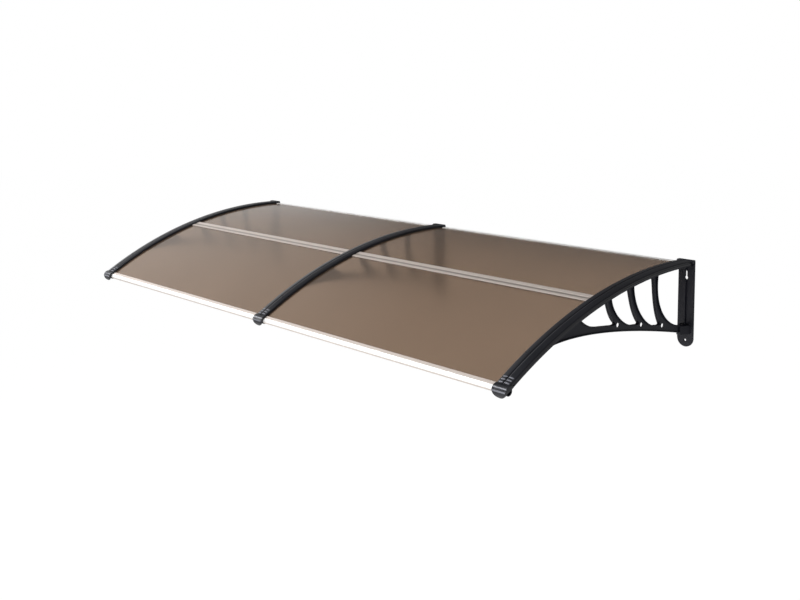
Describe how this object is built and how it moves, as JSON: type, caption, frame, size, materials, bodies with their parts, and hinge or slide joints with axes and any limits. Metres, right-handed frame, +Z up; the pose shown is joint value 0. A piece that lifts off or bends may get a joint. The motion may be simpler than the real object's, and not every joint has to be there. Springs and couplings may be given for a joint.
{
  "type": "polycarbonate door canopy",
  "caption": "Wall-mounted door canopy: arched brown polycarbonate sheets on black moulded brackets with openwork arms, cover strips and pale metal rails.",
  "frame": {"origin": "back face of the middle bracket's wall plate, half way up it, in the wall plane", "axes": "+X right along the wall as seen from the front, +Y into the wall, +Z up"},
  "size_m": [2.0516, 0.781, 0.25],
  "materials": {
    "black_plastic": "fine-grained satin moulding",
    "black_gloss_plastic": "smooth moulding with a soft shine",
    "brown_polycarbonate": "frosted brown tint that shows dark shapes softly through it",
    "pale_aluminium": "satin anodised extrusion",
    "screw_steel": "plated screw"
  },
  "bodies": {
    "root": {"bracket_left": "black_plastic", "cover_left": "black_gloss_plastic", "rear_cap_left": "black_plastic", "front_clamp_left": "black_gloss_plastic", "clamp_screw_left": "screw_steel", "cover_screw_left_1": "screw_steel", "cover_screw_left_2": "screw_steel", "cover_screw_left_3": "screw_steel", "cover_screw_left_4": "screw_steel", "cover_screw_left_5": "screw_steel", "bracket_middle": "black_plastic", "cover_middle": "black_gloss_plastic", "rear_cap_middle": "black_plastic", "front_clamp_middle": "black_gloss_plastic", "clamp_screw_middle": "screw_steel", "cover_screw_middle_1": "screw_steel", "cover_screw_middle_2": "screw_steel", "cover_screw_middle_3": "screw_steel", "cover_screw_middle_4": "screw_steel", "cover_screw_middle_5": "screw_steel", "bracket_right": "black_plastic", "cover_right": "black_gloss_plastic", "rear_cap_right": "black_plastic", "front_clamp_right": "black_gloss_plastic", "clamp_screw_right": "screw_steel", "cover_screw_right_1": "screw_steel", "cover_screw_right_2": "screw_steel", "cover_screw_right_3": "screw_steel", "cover_screw_right_4": "screw_steel", "cover_screw_right_5": "screw_steel", "sheet_rear_left": "brown_polycarbonate", "sheet_front_left": "brown_polycarbonate", "joint_strip_left": "pale_aluminium", "front_rail_left": "pale_aluminium", "rear_rail_left": "pale_aluminium", "sheet_rear_right": "brown_polycarbonate", "sheet_front_right": "brown_polycarbonate", "joint_strip_right": "pale_aluminium", "front_rail_right": "pale_aluminium", "rear_rail_right": "pale_aluminium"}
  },
  "joints": []
}
